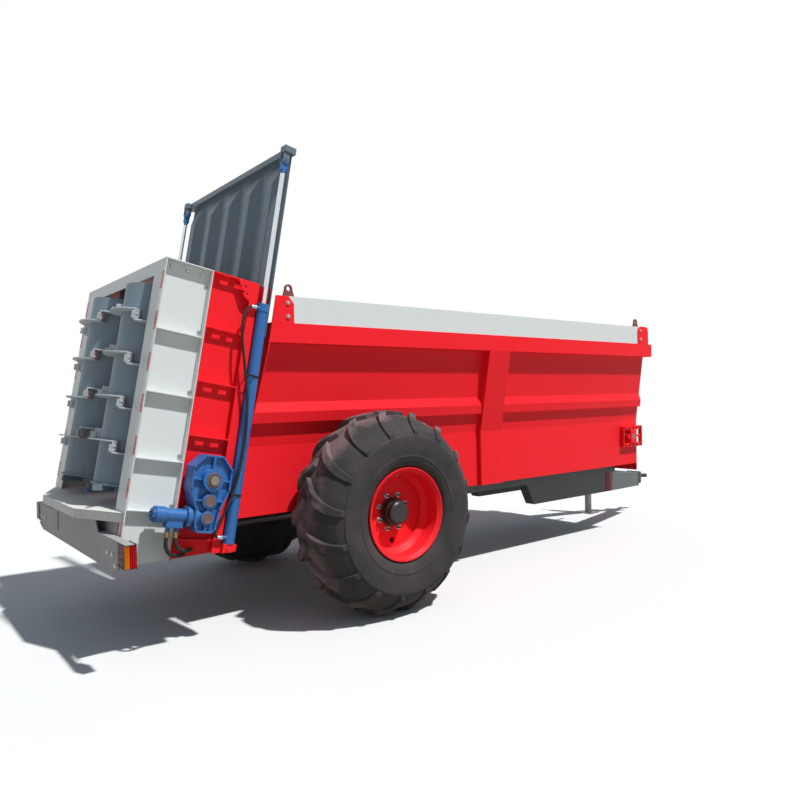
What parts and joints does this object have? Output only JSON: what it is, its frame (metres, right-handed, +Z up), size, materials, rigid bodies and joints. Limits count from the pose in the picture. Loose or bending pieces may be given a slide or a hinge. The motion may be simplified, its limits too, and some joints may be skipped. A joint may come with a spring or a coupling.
{
  "type": "manure spreader trailer",
  "caption": "Rear-discharge manure spreader trailer: one axle, flared tub with a floor conveyor, leaning rear frame with upright beaters, hydraulic sliding door, drawbar and jack.",
  "frame": {"origin": "on the ground below the middle of the overall length, on the middle plane", "axes": "+X forward to the hitch, +Y to the left, +Z up"},
  "size_m": [7.7, 2.867, 3.5478],
  "materials": {
    "red_paint": "gloss enamel, dusty",
    "pale_grey_paint": "satin enamel",
    "slate_paint": "satin enamel, dusty",
    "dark_grey_paint": "satin enamel",
    "black_paint": "satin enamel",
    "blue_paint": "gloss enamel",
    "bare_steel": "worn mill finish",
    "chrome_rod": "polished hard chrome",
    "hose_rubber": "matt",
    "tyre": "matt, dusty",
    "lamp_lens": "clear lens"
  },
  "bodies": {
    "chassis": {"chassis_rails": "dark_grey_paint", "cross_members": "dark_grey_paint", "drawbar_rails": "dark_grey_paint", "drawbar_head": "dark_grey_paint", "hitch_eye": "black_paint", "jack_tube": "dark_grey_paint", "axle": "dark_grey_paint", "tub_floor": "red_paint", "side_wall_right": "red_paint", "side_wall_left": "red_paint", "front_wall": "red_paint", "side_boards": "pale_grey_paint", "front_board": "pale_grey_paint", "lifting_eyes": "red_paint", "chain_tensioners": "red_paint", "floor_conveyor": "bare_steel", "front_shaft": "bare_steel", "rear_shaft": "bare_steel", "rear_post_right": "red_paint", "rear_post_left": "red_paint", "beater_panel_right": "pale_grey_paint", "beater_panel_left": "pale_grey_paint", "top_beam": "pale_grey_paint", "deck": "pale_grey_paint", "bumper": "pale_grey_paint", "tail_lamps": "lamp_lens", "beater_gearboxes": "blue_paint", "conveyor_gearbox": "blue_paint", "hydraulic_motor": "blue_paint", "motor_hoses": "hose_rubber", "cylinder_barrels": "blue_paint", "cylinder_hoses": "hose_rubber", "driveline_bearings": "dark_grey_paint"},
    "door": {"slurry_door": "slate_paint", "cylinder_rods": "chrome_rod"},
    "beater_right": {"beater_drum_right": "slate_paint", "beater_flights_right": "slate_paint"},
    "beater_left": {"beater_drum_left": "slate_paint", "beater_flights_left": "slate_paint"},
    "driveline": {"driveline": "bare_steel"},
    "wheel_right": {"hub_right": "black_paint", "rim_right": "red_paint", "tyre_right": "tyre"},
    "wheel_left": {"hub_left": "black_paint", "rim_left": "red_paint", "tyre_left": "tyre"},
    "jack_leg": {"jack_leg": "bare_steel"}
  },
  "joints": [
    {"name": "wheel_right_spin", "type": "hinge", "parent": "chassis", "child": "wheel_right", "pos_m": [-1.74, -1.14, 0.785], "axis": [0, 1, 0], "continuous": true},
    {"name": "wheel_left_spin", "type": "hinge", "parent": "chassis", "child": "wheel_left", "pos_m": [-1.74, 1.14, 0.785], "axis": [0, 1, 0], "continuous": true},
    {"name": "beater_right_spin", "type": "hinge", "parent": "chassis", "child": "beater_right", "pos_m": [-3.48639, -0.41, 1.08929], "axis": [0.1822, 0, 0.9833], "continuous": true},
    {"name": "beater_left_spin", "type": "hinge", "parent": "chassis", "child": "beater_left", "pos_m": [-3.48639, 0.41, 1.08929], "axis": [0.1822, 0, 0.9833], "continuous": true},
    {"name": "driveline_spin", "type": "hinge", "parent": "chassis", "child": "driveline", "pos_m": [-1.74, 0, 0.64], "axis": [1, 0, 0], "continuous": true},
    {"name": "door_slide", "type": "slide", "parent": "chassis", "child": "door", "axis": [0.1822, 0, 0.9833], "range_m": [-0.9, 0]},
    {"name": "jack_slide", "type": "slide", "parent": "chassis", "child": "jack_leg", "axis": [0, 0, 1], "range_m": [0, 0.3]}
  ],
  "couplings": [
    {"joint": "beater_left_spin", "follows": "beater_right_spin", "ratio": -1},
    {"joint": "driveline_spin", "follows": "beater_right_spin", "ratio": 2.4}
  ]
}
